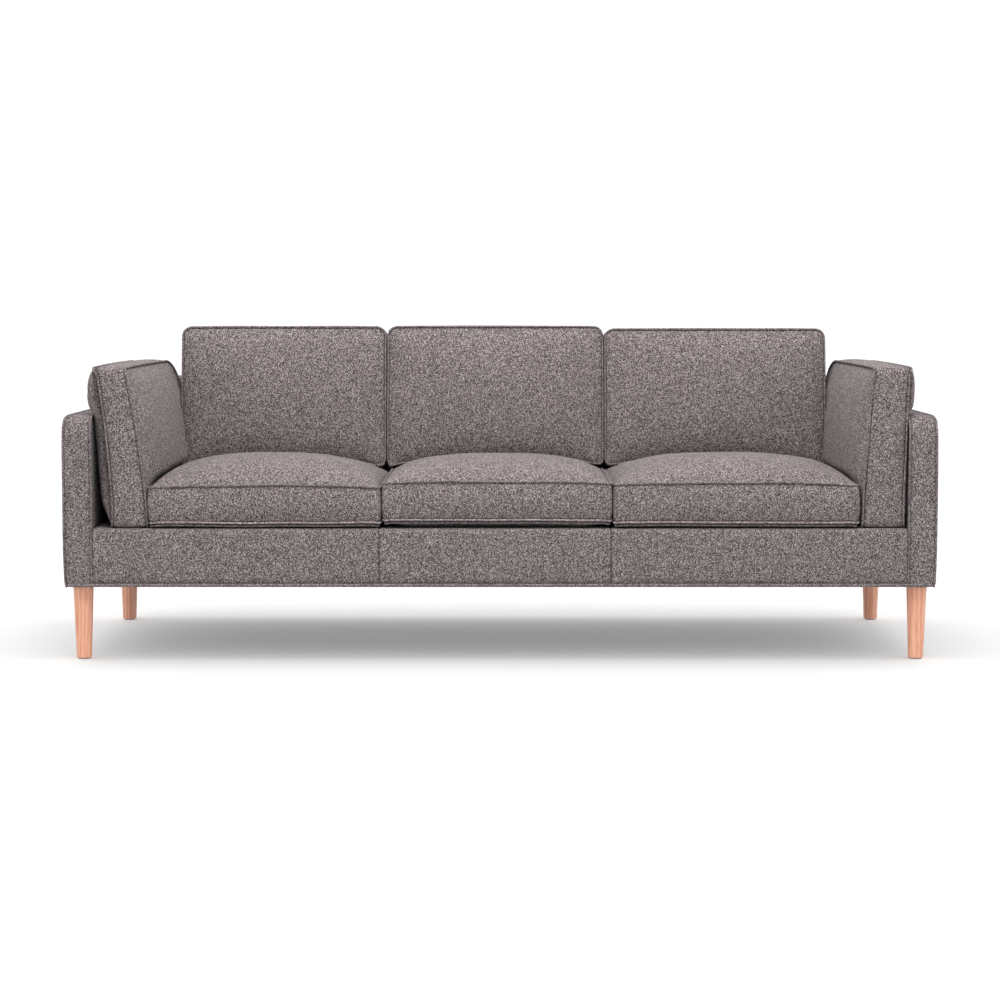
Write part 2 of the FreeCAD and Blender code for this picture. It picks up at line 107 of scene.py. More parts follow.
BASE_BOTTOM = 0.188
HALF_DEPTH = 0.445
BAND_SEAMS = (-0.307, 0.282)   # X of the vertical seams in the front band and the outside back
BAND_ENDS = (-ARM_INSIDE, ARM_INSIDE)
DECK_SEAM = -0.345             # Y where the front band ends on the deck
LIP = 0.1985                   # height where the covers end, over the base's bottom piping

YARN_DARK, YARN_BROWN = (34, 30, 31), (84, 73, 74)
YARN_GREY, YARN_PALE = (118, 107, 108), (206, 196, 195)


# ---------------------------------------------------------------------------------------------- materials

def new_material(name):
    material = bpy.data.materials.new(name)
    material.use_nodes = True
    tree = material.node_tree
    tree.nodes.clear()
    output = tree.nodes.new("ShaderNodeOutputMaterial")
    shader = tree.nodes.new("ShaderNodeBsdfPrincipled")
    tree.links.new(shader.outputs["BSDF"], output.inputs["Surface"])
    return material, tree, shader


def add(tree, kind, inputs=None, **settings):
    """A new node with its settings, and its sockets set to numbers or linked from other sockets."""
    node = tree.nodes.new(kind)
    for key, value in settings.items():
        setattr(node, key, value)
    for key, value in (inputs or {}).items():
        if isinstance(value, bpy.types.NodeSocket):
            tree.links.new(value, node.inputs[key])
        else:
            node.inputs[key].default_value = value
    return node


def math_node(tree, operation, *values):
    return add(tree, "ShaderNodeMath", dict(enumerate(values)), operation=operation).outputs[0]


def ramp(tree, factor, *stops):
    """A colour from a factor; each stop is a position and a colour, or a position and a grey."""
    node = add(tree, "ShaderNodeValToRGB", {"Fac": factor})
    elements = node.color_ramp.elements
    while len(elements) < len(stops):
        elements.new(0.5)
    for element, (position, colour) in zip(elements, stops):
        element.position = position
        element.color = (*(colour if isinstance(colour, tuple) else (colour,) * 3), 1)
    return node.outputs["Color"]


def multiplied(tree, colour, by, amount=1.0):
    inputs = {"Fac": amount, "Color1": colour, "Color2": by}
    return add(tree, "ShaderNodeMixRGB", inputs, blend_type="MULTIPLY").outputs["Color"]


def add_bump(tree, shader, height, strength, distance):
    bump = add(tree, "ShaderNodeBump", {"Strength": strength, "Distance": distance, "Height": height})
    tree.links.new(bump.outputs["Normal"], shader.inputs["Normal"])


def object_coordinates(tree, scale=(1.0, 1.0, 1.0)):
    place = add(tree, "ShaderNodeTexCoord").outputs["Object"]
    return add(tree, "ShaderNodeMapping", {"Vector": place, "Scale": scale}).outputs["Vector"]


def noise_node(tree, place, scale, detail):
    return add(tree, "ShaderNodeTexNoise", {"Vector": place, "Scale": scale, "Detail": detail})


def wandering(tree, place, scale, reach):
    """A place moved about by slow noise, so that a pattern on it isn't regular."""
    drift = noise_node(tree, place, scale, 2.0).outputs["Color"]
    moved = add(tree, "ShaderNodeVectorMath", {0: drift, "Scale": reach}, operation="SCALE").outputs["Vector"]
    return add(tree, "ShaderNodeVectorMath", {0: place, 1: moved}, operation="ADD").outputs["Vector"]


def srgb(red, green, blue):
    """A colour given as 0-255 display values, made linear."""
    shares = (red / 255, green / 255, blue / 255)
    return tuple(c / 12.92 if c <= 0.04045 else ((c + 0.055) / 1.055) ** 2.4 for c in shares)


def scaled(colour, factor):
    return tuple(c * factor for c in colour)


def tweed(name, tone, loop=0.0014):
    """Wool tweed: dark, grey and pale yarn ends about a loop across, with painted shade down in the seams."""
    material, tree, shader = new_material(name)
    place = wandering(tree, object_coordinates(tree, (1.0, 0.8, 0.8)), 0.35 / loop, loop * 0.9)
    ends = add(tree, "ShaderNodeTexVoronoi", {"Vector": place, "Scale": 1 / loop}, feature="F1")
    pick = add(tree, "ShaderNodeSeparateColor", {"Color": ends.outputs["Color"]})
    yarns = zip((0.00, 0.28, 0.62, 1.00), (YARN_DARK, YARN_BROWN, YARN_GREY, YARN_PALE))
    yarn = ramp(tree, pick.outputs["Red"], *((position, srgb(*scaled(c, tone))) for position, c in yarns))
    tint = ramp(tree, pick.outputs["Green"], (0.0, (1.10, 1.0, 0.93)), (0.5, 1.0), (1.0, (0.95, 1.0, 1.05)))
    yarn = multiplied(tree, yarn, tint, 0.5)
    shade = ramp(tree, noise_node(tree, place, 9.0, 3.0).outputs["Fac"], (0.3, 0.97), (0.7, 1.03))
    yarn = multiplied(tree, yarn, shade)
    # painted shade in the seams: the mesh's per-point seam value darkens the yarn down to 0.16 of its colour
    seam_shade = add(tree, "ShaderNodeAttribute", attribute_name="seam_shade").outputs["Fac"]
    yarn = multiplied(tree, yarn, ramp(tree, seam_shade, (0.1, 1.0), (1.0, 0.16)))
    tree.links.new(yarn, shader.inputs["Base Color"])
    fibre = noise_node(tree, place, 3.2 / loop, 3.0).outputs["Fac"]
    height = math_node(tree, "MULTIPLY_ADD", ends.outputs["Distance"], -1.0, 1.0)
    add_bump(tree, shader, math_node(tree, "MULTIPLY_ADD", fibre, 0.35, height), 0.5, 0.0010)
    shader.inputs["Roughness"].default_value = 0.92
    shader.inputs["Specular IOR Level"].default_value = 0.18
    shader.inputs["Sheen Weight"].default_value = 0.04
    shader.inputs["Sheen Roughness"].default_value = 0.45
    return material


def woven(name, colour, thread, contrast=0.25):
    """Plain woven cloth: two sets of threads at right angles."""
    material, tree, shader = new_material(name)
    place = object_coordinates(tree)
    inputs = {"Vector": place, "Scale": 0.05 / thread, "Distortion": 0.6, "Detail": 1.0}
    warp, weft = (add(tree, "ShaderNodeTexWave", inputs, bands_direction=way).outputs["Fac"] for way in "XY")
    weave = math_node(tree, "MULTIPLY", warp, weft)
    mottle = noise_node(tree, place, 60.0, 4.0).outputs["Fac"]
    mottle = math_node(tree, "MULTIPLY", mottle, 0.4)
    mix = math_node(tree, "ADD", math_node(tree, "MULTIPLY", weave, 0.6), mottle)
    low = scaled(colour, 1 - contrast)
    high = tuple(min(1.0, c) for c in scaled(colour, 1 + contrast))
    tree.links.new(ramp(tree, mix, (0.15, low), (0.75, high)), shader.inputs["Base Color"])
    add_bump(tree, shader, weave, 0.4, 0.0005)
    shader.inputs["Roughness"].default_value = 0.85
    return material


def wood(name, pale, mid, dark, rings, roughness=0.42, along=(1.0, 1.0, 0.07), fleck=0.5, wander=3.0):
    """Timber whose grain runs along one axis, with fine pores and slow bands of colour."""
    material, tree, shader = new_material(name)
    place = wandering(tree, object_coordinates(tree, along), 14.0, 0.02)
    inputs = {"Vector": place, "Scale": rings, "Distortion": wander, "Detail": 3.0, "Detail Scale": 2.0}
    bands = add(tree, "ShaderNodeTexWave", inputs, bands_direction="X").outputs["Fac"]
    pores = noise_node(tree, place, 420.0, 3.0).outputs["Fac"]
    banding = math_node(tree, "MULTIPLY", bands, 1 - fleck)
    grain = math_node(tree, "ADD", banding, math_node(tree, "MULTIPLY", pores, fleck))
    tree.links.new(ramp(tree, grain, (0.22, dark), (0.5, mid), (0.8, pale)), shader.inputs["Base Color"])
    add_bump(tree, shader, pores, 0.12, 0.0004)
    gloss = math_node(tree, "MULTIPLY_ADD", pores, 0.16, roughness - 0.08)
    tree.links.new(gloss, shader.inputs["Roughness"])
    shader.inputs["Specular IOR Level"].default_value = 0.4
    return material


def foam(name, colour):
    material, tree, shader = new_material(name)
    place = object_coordinates(tree)
    cells = add(tree, "ShaderNodeTexVoronoi", {"Vector": place, "Scale": 600.0}).outputs["Distance"]
    shade = ramp(tree, cells, (0.0, scaled(colour, 0.7)), (0.6, colour))
    tree.links.new(shade, shader.inputs["Base Color"])
    add_bump(tree, shader, cells, 0.5, 0.0008)
    shader.inputs["Roughness"].default_value = 0.95
    return material


def steel(name, colour, roughness):
    material, tree, shader = new_material(name)
    mottle = noise_node(tree, object_coordinates(tree), 180.0, 4.0).outputs["Fac"]
    shade = ramp(tree, mottle, (0.3, scaled(colour, 0.85)), (0.7, colour))
    tree.links.new(shade, shader.inputs["Base Color"])
    tree.links.new(math_node(tree, "MULTIPLY_ADD", mottle, 0.2, roughness - 0.1), shader.inputs["Roughness"])
    shader.inputs["Metallic"].default_value = 1.0
    return material


def plastic(name, colour):
    material, tree, shader = new_material(name)
    grain = noise_node(tree, object_coordinates(tree), 900.0, 2.0).outputs["Fac"]
    shade = ramp(tree, grain, (0.3, scaled(colour, 0.9)), (0.7, colour))
    tree.links.new(shade, shader.inputs["Base Color"])
    add_bump(tree, shader, grain, 0.2, 0.0002)
    shader.inputs["Roughness"].default_value = 0.5
    return material


TWEED = tweed("tweed", tone=0.865)
# a lighter copy of the welt tweed: painted highlight for the seats' bottom piping, as if lit from above
PAINTED_HIGHLIGHT_WELT_TWEED = tweed("tweed_bottom_welt_painted_highlight", tone=1.05, loop=0.0012)
WELT_TWEED = tweed("tweed_welt", tone=0.865, loop=0.0012)
LEG_WOOD = wood("leg_wood", srgb(226, 174, 148), srgb(217, 157, 129), srgb(200, 134, 105), rings=26.0,
                fleck=0.65, wander=9.0)
FRAME_WOOD = wood("frame_wood", srgb(205, 170, 125), srgb(186, 148, 104), srgb(150, 112, 74),
                  rings=9.0, roughness=0.65, along=(0.07, 1.0, 1.0))
HARDBOARD = wood("hardboard", srgb(120, 86, 58), srgb(105, 74, 49), srgb(84, 58, 38),
                 rings=3.0, roughness=0.6, along=(1.0, 1.0, 1.0), fleck=0.9)
DECK_CLOTH = woven("deck_cloth", srgb(112, 104, 105), thread=0.0012)
DUST_CLOTH = woven("dust_cloth", srgb(40, 40, 42), thread=0.0009, contrast=0.35)
PLATED_STEEL = steel("plated_steel", srgb(200, 196, 184), 0.3)
SLOT_MATERIALS = {
    "upholstery": TWEED,
    "foam": foam("foam", srgb(232, 222, 190)),
    "deck_cloth": DECK_CLOTH,
    "dust_cover": DUST_CLOTH,
    "webbing": woven("webbing", srgb(172, 150, 112), thread=0.0020, contrast=0.4),
    "frame_wood": FRAME_WOOD,
    "hardboard": HARDBOARD,
    "leg_wood": LEG_WOOD,
    "spring_steel": steel("spring_steel", srgb(120, 120, 124), 0.35),
    "plated_steel": PLATED_STEEL,
    "nylon_glide": plastic("nylon", srgb(150, 148, 145)),
}
for part in frame["record"]["subparts"]:
    mesh = frame["nodes"][part["node"]].data
    mesh.materials.clear()
    mesh.materials.append(SLOT_MATERIALS[part["material_slot"]])


# ------------------------------------------------------------------------------------------------- meshes

def new_object(name, points, faces, material, smooth=True, seam_shade=None):
    """Its last argument says, point by point, how far down in a seam the cloth is, from 0 to 1, which the
    tweed darkens as painted shade.
    """
    mesh = bpy.data.meshes.new(name)
    mesh.from_pydata([tuple(p) for p in points], [], faces)
    mesh.validate()
    mesh.update()
    if seam_shade is not None:
        mesh.attributes.new("seam_shade", "FLOAT", "POINT").data.foreach_set("value", np.array(seam_shade, float))
    if smooth:
        mesh.shade_smooth()
    mesh.materials.append(material)
    made = bpy.data.objects.new(name, mesh)
    bpy.context.collection.objects.link(made)
    return made


def finish_piece(made, body, slot, *nodes):
    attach(made, body)
    if nodes:
        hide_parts(*nodes)


def subdivide(made):
    modifier = made.modifiers.new("smooth", "SUBSURF")
    modifier.levels = modifier.render_levels = 1
    graph = bpy.context.evaluated_depsgraph_get()
    mesh = bpy.data.meshes.new_from_object(made.evaluated_get(graph))
    made.modifiers.clear()
    made.data = mesh
    mesh.shade_smooth()


def smooth_step(x, low, high):
    t = ((x - low) / (high - low)).clip(0, 1)
    return t * t * (3 - 2 * t)


def seam_spaced(length):
    """Distances from 0 to a length, evenly spaced but closer beside both ends."""
    inner = length - 2 * SEAM_STEPS[-1]
    count = max(2, round(inner / STEP))
    middle = [SEAM_STEPS[-1] + inner * k / count for k in range(count + 1)]
    ends = [0.0, *SEAM_STEPS[:-1]]
    return np.array(ends + middle + [length - e for e in reversed(ends)])


def across_path(ahead):
    """Two directions across a path at each point, which twist as little as they can along it."""
    side = np.cross(ahead[0], (0.3, 0.5, 0.8))
    frames = []
    for direction in ahead:
        side = side - direction * side.dot(direction)
        side /= np.linalg.norm(side)
        frames.append((side, np.cross(direction, side)))
    return frames


def tube(name, path, radius, material, closed=True, sides=8):
    """Piping: a round cord along a path."""
    path = np.array(path, float)
    count = len(path)
    ahead = np.roll(path, -1, 0) - np.roll(path, 1, 0) if closed else np.gradient(path, axis=0)
    ahead /= np.linalg.norm(ahead, axis=1)[:, None]
    frames = across_path(ahead)
    turns = np.arange(sides) * 2 * math.pi / sides
    points = [
        p + radius * (math.cos(t) * a + math.sin(t) * b)
        for p, (a, b) in zip(path, frames) for t in turns
    ]
    corner_pairs = [(s, (s + 1) % sides) for s in range(sides)]
    faces = []
    for here in range(0, (count - 1) * sides, sides):
        there = here + sides
        faces += [(here + s, here + t, there + t, there + s) for s, t in corner_pairs]
    start = (count - 1) * sides
    if closed:
        # the last ring meets the first at whatever turn the frames have drifted by
        (a, b), last = frames[0], frames[-1][0]
        drift = round(math.atan2(last.dot(b), last.dot(a)) / (2 * math.pi / sides)) % sides
        faces += [(start + s, start + t, (t + drift) % sides, (s + drift) % sides) for s, t in corner_pairs]
    else:
        faces.append(tuple(reversed(range(sides))))
        faces.append(tuple(range(start, start + sides)))
    return new_object(name, points, faces, material)


def add_welt(name, path, body="frame", material=WELT_TWEED, radius=WELT, closed=True):
    finish_piece(tube(name, path, radius, material, closed), body, "upholstery")


class Pad:
    """A boxed pad: two panels with rounded corners, joined round their edges by a band.

    u and v lie in the panels, from 0 to width and height; w goes through it, from 0 to thickness.
    radii are those of the corners at (0, 0), (width, 0), (width, height) and (0, height).
    at holds the points: the rear panel's (w = 0), then the front panel's, then the band's, row by row.
    """

    def __init__(self, width, height, thickness, radii):
        self.width, self.height, self.thickness = width, height, thickness
        us, vs, ws = seam_spaced(width), seam_spaced(height), seam_spaced(thickness)
        flat = self.rounded(*np.meshgrid(us, vs, indexing="ij"), radii)
        grid = np.arange(len(flat)).reshape(len(us), len(vs))
        size = grid.size
        self.rear, self.front = np.arange(size), np.arange(size) + size
        self.rear_seam = np.concatenate([grid[:-1, 0], grid[-1, :-1], grid[:0:-1, -1], grid[0, :0:-1]])
        self.front_seam = self.rear_seam + size
        inner = grid[1:-1, 1:-1]
        self.beside = np.concatenate([inner[0], inner[-1], inner[:, 0], inner[:, -1]])
        rim = flat[self.rear_seam]
        along = np.roll(rim, -1, 0) - np.roll(rim, 1, 0)
        self.out = np.stack([along[:, 1], -along[:, 0]], 1) / np.linalg.norm(along, axis=1)[:, None]
        self.rows = [self.rear_seam]
        blocks = [np.c_[flat, np.zeros(size)], np.c_[flat, np.full(size, thickness)]]
        for k, w in enumerate(ws[1:-1]):
            self.rows.append(2 * size + k * len(rim) + np.arange(len(rim)))
            blocks.append(np.c_[rim, np.full(len(rim), w)])
        self.rows.append(self.front_seam)
        self.at = np.concatenate(blocks)
        self.faces = self.panel_faces(grid) + self.band_faces()

    def rounded(self, u, v, radii):
        """A flat grid's points, with those in its corners drawn in onto arcs."""
        for (cu, cv), radius in zip(((0, 0), (1, 0), (1, 1), (0, 1)), radii):
            a = radius - np.abs(u - cu * self.width)
            b = radius - np.abs(v - cv * self.height)
            inside = (a > 0) & (b > 0)
            squeeze = np.maximum(a, b) / np.maximum(np.hypot(a, b), 1e-9)
            u = np.where(inside, cu * self.width + (1 - 2 * cu) * (radius - a * squeeze), u)
            v = np.where(inside, cv * self.height + (1 - 2 * cv) * (radius - b * squeeze), v)
        return np.stack([u.ravel(), v.ravel()], 1)

    def panel_faces(self, grid):
        faces = []
        for a, b in zip(grid, grid[1:]):
            for quad in zip(a, b, b[1:], a[1:]):
                faces.append(tuple(int(q) + grid.size for q in quad))
                faces.append(tuple(int(q) for q in reversed(quad)))
        return faces

    def band_faces(self):
        faces = []
        for low, high in zip(self.rows, self.rows[1:]):
            faces += [tuple(map(int, q)) for q in zip(low, np.roll(low, -1), np.roll(high, -1), high)]
        return faces

    def across(self):
        """Each point's place over the panels, from -1 to 1 each way."""
        return 2 * self.at[:, 0] / self.width - 1, 2 * self.at[:, 1] / self.height - 1

    def swell_band(self, amount):
        """Bows the band outwards between its two seams."""
        for row in self.rows[1:-1]:
            height = self.at[row, 2] / self.thickness
            self.at[row, :2] += self.out * (amount * np.sin(math.pi * height))[:, None]

    def ripple(self, amount, size, seed):
        """Slow unevenness of the panels, as stuffing gives."""
        for k in np.concatenate([self.front, self.rear]):
            p = Vector(self.at[k]) / size + Vector((seed * 7.3, seed * 3.1, 0))
            self.at[k, 2] += amount * noise.noise(p)

    def seam_shade(self, beside, front=1.0):
        """How far down in a seam each point is, which sets its painted shade: front or 1 on the two seams,
        and beside next to them.
        """
        depth = np.zeros(len(self.at))
        for row in (self.rows[1], self.rows[-2], self.beside, self.beside + self.rear.size):
            depth[row] = beside
        depth[self.front_seam], depth[self.rear_seam] = front, 1.0
        return depth

    def cornering(self):
        """1 halfway round a corner of the border, 0 on its straight sides."""
        return np.abs(2 * self.out[:, 0] * self.out[:, 1])

    def sewn_in(self, amount):
        """Draws both sewn edges into the pad, less round its corners."""
        drawn = self.out * (amount * (1 - CORNER_RELIEF * self.cornering()))[:, None]
        self.at[self.front_seam, :2] -= drawn
        self.at[self.rear_seam, :2] -= drawn
        self.at[self.front_seam, 2] -= amount
        self.at[self.rear_seam, 2] += amount


# ----------------------------------------------------------------------------------------------- cushions

SIMULATED = []            # (object, pad, how it is held off its neighbours) of each cushion


def add_cushion(name, pad, place, hold, nodes, seat=False, beside=0.1):
    """Puts a pad in the sofa, on the body with its name, with piping along both its seams.

    place maps its (u, v, w) to the sofa, and hold keeps it off its neighbours. beside is how much painted
    shade the cloth gets next to a seam. A seat cushion's piping along the bottom is paler, a painted
    highlight, and there is more piping under that.
    """
    lines = {"front": pad.at[pad.front_seam], "rear": pad.at[pad.rear_seam]}
    for line in lines.values():
        line[:, :2] -= pad.out * (WELT_SINK + WELT_CORNER_SINK * pad.cornering())[:, None]
    if seat:
        lines["rear"][:, :2] += pad.out * PROUD_WELT
        drop = np.full(len(pad.out), UNDER_WELT_DROP)
        under = place(pad.at[pad.rear_seam] - np.column_stack([pad.out * UNDER_WELT_INSET, drop]))
        add_welt(f"{name}_under_welt", under, name, radius=UNDER_WELT)
    paths = {seam: hold(place(line)) for seam, line in lines.items()}
    pad.sewn_in(GROOVE)
    # painted shade down in and beside the seams, lighter along a seat's front seam
    seam_shade = pad.seam_shade(beside, front=0.35 if seat else 1.0)
    made = new_object(name, hold(place(pad.at)), pad.faces, TWEED, seam_shade=seam_shade)
    finish_piece(made, name, "upholstery", *nodes)
    for seam, path in paths.items():
        # a seat's bottom piping gets the paler tweed: a painted highlight where light from above falls on it
        pale = seat and seam == "rear"
        add_welt(f"{name}_{seam}_welt", path, name, PAINTED_HIGHLIGHT_WELT_TWEED if pale else WELT_TWEED)
    SIMULATED.append((made, pad, hold))


def add_cloth(made, pad):
    """Makes a pad blow up under pressure, with its seams held still."""
    pins = made.vertex_groups.new(name="seams")
    pins.add([int(k) for k in np.concatenate([pad.front_seam, pad.rear_seam])], 1.0, "REPLACE")
    cloth = made.modifiers.new("cloth", "CLOTH")
    cloth.point_cache.frame_start, cloth.point_cache.frame_end = 1, SIM_FRAMES
    cloth.collision_settings.use_collision = False
    settings = cloth.settings
    settings.quality = 6
    settings.mass = 0.3
    settings.tension_stiffness = settings.compression_stiffness = 12
    settings.bending_stiffness = 1.0
    settings.use_pressure = True
    settings.uniform_pressure_force = SIM_PRESSURE
    settings.vertex_group_mass = "seams"
    settings.effector_weights.gravity = 0.0


def inflate_all():
    """Blows the cushions up a little, then holds them off their neighbours."""
    for made, pad, _ in SIMULATED:
        add_cloth(made, pad)
    for number in range(1, SIM_FRAMES + 1):
        bpy.context.scene.frame_set(number)
    graph = bpy.context.evaluated_depsgraph_get()
    for made, _, hold in SIMULATED:
        start = np.array([v.co for v in made.data.vertices])
        end = np.array([v.co for v in made.evaluated_get(graph).to_mesh().vertices])
        move = end - start
        far = np.linalg.norm(move, axis=1)
        move *= (SIM_REACH * np.tanh(far / SIM_REACH) / np.maximum(far, 1e-9))[:, None]
        made.modifiers.clear()
        made.vertex_groups.clear()
        made.data.vertices.foreach_set("co", hold(start + move).ravel())
        made.data.update()
    bpy.context.scene.frame_set(1)


def seat_dome(a, y):
    """How far up its crown a seat cushion's top is; a runs from -1 to 1 across it."""
    to_front = ((SEAT_PEAK - y) / (SEAT_PEAK - SEAT_FRONT)).clip(0, 1)
    to_rear = ((y - SEAT_PEAK) / (SEAT_REAR - SEAT_PEAK)).clip(0, 1)
    ahead = (1 - to_front ** 4.2) ** 0.68
    behind = 1 - 0.70 * to_rear ** 2 - 0.30 * to_rear
    return (1 - np.abs(a).clip(0, 1) ** 2.5) ** 0.57 * ahead * behind


def seat_top(x, y):
    """Height of the seat's surface."""
    height = np.full(np.shape(x), DECK)
    for x0, x1, _, high, crown in SEATS.values():
        a = 2 * (x - x0) / (x1 - x0) - 1
        height = np.where(np.abs(a) <= 1, high + crown * seat_dome(a, y), height)
    return height


def seat_cushion(side, seed):
    """A seat cushion, crowned on top, whose underside comes down onto the deck inside its piping."""
    x0, x1, low, high, crown = SEATS[side]
    width, length = x1 - x0 - 2 * INSET, SEAT_REAR - SEAT_FRONT - 2 * INSET
    pad = Pad(width, length, high - low, (SEAT_CORNER,) * 4)
    a, b = pad.across()
    pad.at[pad.front, 2] += crown * seat_dome(a, SEAT_FRONT + INSET + pad.at[:, 1])[pad.front]
    under = ((1 - np.abs(a) ** 12) * (1 - np.abs(b) ** 14)).clip(0) ** 0.6
    pad.at[pad.rear, 2] -= (low - DECK) * under[pad.rear]
    pad.swell_band(0.006)
    pad.ripple(0.0022, 0.16, seed)

    def place(at):
        return np.stack([x0 + INSET + at[:, 0], SEAT_FRONT + INSET + at[:, 1], low + at[:, 2]], 1)

    def hold(p):
        p = p.copy()
        p[:, 0] = p[:, 0].clip(x0 + GAP, x1 - GAP)
        # its underside comes down from the seam to the deck over the first 22 mm
        from_edge = np.minimum(np.minimum(p[:, 0] - x0, x1 - p[:, 0]), p[:, 1] - SEAT_FRONT)
        p[:, 2] = np.maximum(p[:, 2], low - (low - DECK - GAP) * smooth_step(from_edge, -0.004, 0.022))
        # only the part under the back cushions is held down
        free = SEAT_FREE_RISE * (1 - (p[:, 1] - SEAT_HELD_FROM) / SEAT_HELD_WITHIN).clip(0, 1)
        p[:, 2] = np.minimum(p[:, 2], seat_top(p[:, 0], p[:, 1]) + free)
        return p

    nodes = (f"seat_{side}_cover", f"seat_{side}_core")
    add_cushion(f"seat_cushion_{side}", pad, place, hold, nodes, seat=True)


def back_face(z):
    """Y of the sofa's inside back at a height."""
    return BACK_FACE_Y + (BACK_TOP_Y - BACK_FACE_Y) * (z - DECK) / (BACK_TOP - DECK)


def back_cushion(side, seed):
    """A back cushion that leans on the sofa's back and whose foot follows the seats' crowns."""
    x0, x1, height = BACKS[side]
    pad = Pad(x1 - x0 - 2 * INSET, height - 2 * INSET, BACK_THICKNESS - 2 * INSET, BACK_CORNERS)
    a, b = pad.across()
    dome = ((1 - np.abs(a) ** 2.2) * (1 - np.abs(b) ** 2.2)).clip(0) ** 0.75
    front_crown, rear_crown = 0.030, 0.018
    pad.at[pad.front, 2] += front_crown * dome[pad.front]
    pad.at[pad.rear, 2] -= rear_crown * dome[pad.rear]
    pad.swell_band(0.007)
    pad.ripple(0.0025, 0.17, seed + 10)
    cos, sin = math.cos(BACK_LEAN), math.sin(BACK_LEAN)

    def place(at):
        behind, up = BACK_THICKNESS - INSET - at[:, 2], INSET + at[:, 1]
        x = x0 + INSET + at[:, 0]
        y = BACK_FOOT_Y + behind * cos + up * sin
        z = BACK_FOOT_Z - behind * sin + up * cos
        foot = BACK_FOOT_Z - behind * sin
        lift = (seat_top(x, y) + 2 * GAP - foot).clip(0)
        return np.stack([x, y, z + lift * (1 - up / BACK_SOFT_FOOT).clip(0) ** 1.5], 1)

    def hold(p):
        p = p.copy()
        p[:, 0] = p[:, 0].clip(x0 + GAP, x1 - GAP)
        # the sofa's back stops it, but not above the back's top
        stop = np.where(p[:, 2] < BACK_TOP + 0.01, back_face(p[:, 2]) - 0.001, 1.0)
        p[:, 1] = np.minimum(p[:, 1], stop)
        p[:, 2] = np.maximum(p[:, 2], seat_top(p[:, 0], p[:, 1]) + GAP)
        return p

    nodes = (f"back_{side}_cover", f"back_{side}_core")
    add_cushion(f"back_cushion_{side}", pad, place, hold, nodes)


def bolster_rise(z, fullness, overhang):
    """How far a bolster's outer face stands out: fullness beside the arm, overhang above it, 0 at the top."""
    rounded_from = 0.060       # above the arm's top
    rise = fullness * smooth_step(z, DECK - 0.03, DECK + 0.08)
    rise = rise + (overhang - fullness) * smooth_step(z, ARM_TOP - 0.030, ARM_TOP + 0.040)
    to_top = ((z - ARM_TOP - rounded_from) / (BOLSTER_TOP - ARM_TOP - rounded_from)).clip(0, 1)
    return rise * (1 - to_top ** 2.4) ** 0.5


def bolster(name, seed):
    """An arm bolster that stands on the deck and leans out over the arm."""
    (side, inner_foot, outer_foot, inner_lean, outer_lean, turn, inner_crown, fullness, overhang,
     seat_side, back_side) = BOLSTERS[name]
    length, tall = BOLSTER_REAR - BOLSTER_FRONT - 2 * INSET, BOLSTER_TOP - DECK - 2 * INSET
    thickness = outer_foot - inner_foot
    pad = Pad(length, tall, thickness, BOLSTER_CORNERS)
    a, b = pad.across()
    inner, outer = (pad.front, pad.rear) if side < 0 else (pad.rear, pad.front)
    inner_dome = ((1 - np.abs(a) ** 2.8) * (1 - np.abs(b) ** 2.8)).clip(0) ** 0.65
    along = (1 - np.abs(a) ** 20).clip(0) ** 0.5
    rise = bolster_rise(DECK + INSET + pad.at[:, 1], fullness, overhang)
    pad.at[inner, 2] -= side * (inner_crown * inner_dome)[inner]
    pad.at[outer, 2] += side * (rise * along)[outer]
    pad.swell_band(0.003)
    pad.ripple(0.0022, 0.15, seed + 20)

    def place(at):
        up = (at[:, 1] / tall).clip(0, 1)
        y = BOLSTER_FRONT + INSET + at[:, 0]
        # the rear is turned in, less towards the top and less on the outer face
        turned = turn * (y - BOLSTER_FRONT) / (BOLSTER_REAR - BOLSTER_FRONT) * (1 - 0.40 * up ** 5)
        leaning = up ** 1.6
        inner_x = inner_foot + inner_lean * leaning - turned
        outer_x = outer_foot + outer_lean * leaning - turned * 0.6
        between = at[:, 2].clip(0, thickness)
        beyond = at[:, 2] - between
        share = between / thickness
        if side < 0:
            x = -(outer_x + (inner_x - outer_x) * share - beyond)
        else:
            x = inner_x + (outer_x - inner_x) * share + beyond
        # the top edge is a little higher behind its middle
        crest = 0.004 * (1 - ((y - 0.04) / 0.50) ** 2).clip(0)
        return np.stack([x, y, DECK + INSET + at[:, 1] + crest * up ** 2], 1)

    def hold(p):
        p = p.copy()
        x, y, z = np.abs(p[:, 0]), p[:, 1], p[:, 2]
        # the arm stops its outer face, but not above the arm's top
        over = ((z - ARM_TOP - 0.004) / 0.010).clip(0, 1)
        x = np.minimum(x, ARM_INSIDE - 2 * GAP + 0.10 * over)
        # the seat cushion stops its inner face and, above that, the back cushion does; ahead of the back
        # cushion it may stand this far over the seat
        over_seat = 0.045
        above_seat = seat_side - over_seat + (back_side - seat_side + over_seat) * smooth_step(y, 0.06, 0.125)
        nearest = seat_side + (above_seat - seat_side) * smooth_step(z, 0.446, 0.490)
        p[:, 0] = side * np.maximum(x, nearest + GAP)
        p[:, 2] = z.clip(DECK + GAP, None)
        return p

    nodes = (f"bolster_{name}_cover", f"bolster_{name}_core")
    # more painted shade beside its seams than the other cushions get
    add_cushion(f"arm_bolster_{name}", pad, place, hold, nodes, beside=0.5)


# -------------------------------------------------------------------------------------------------- frame

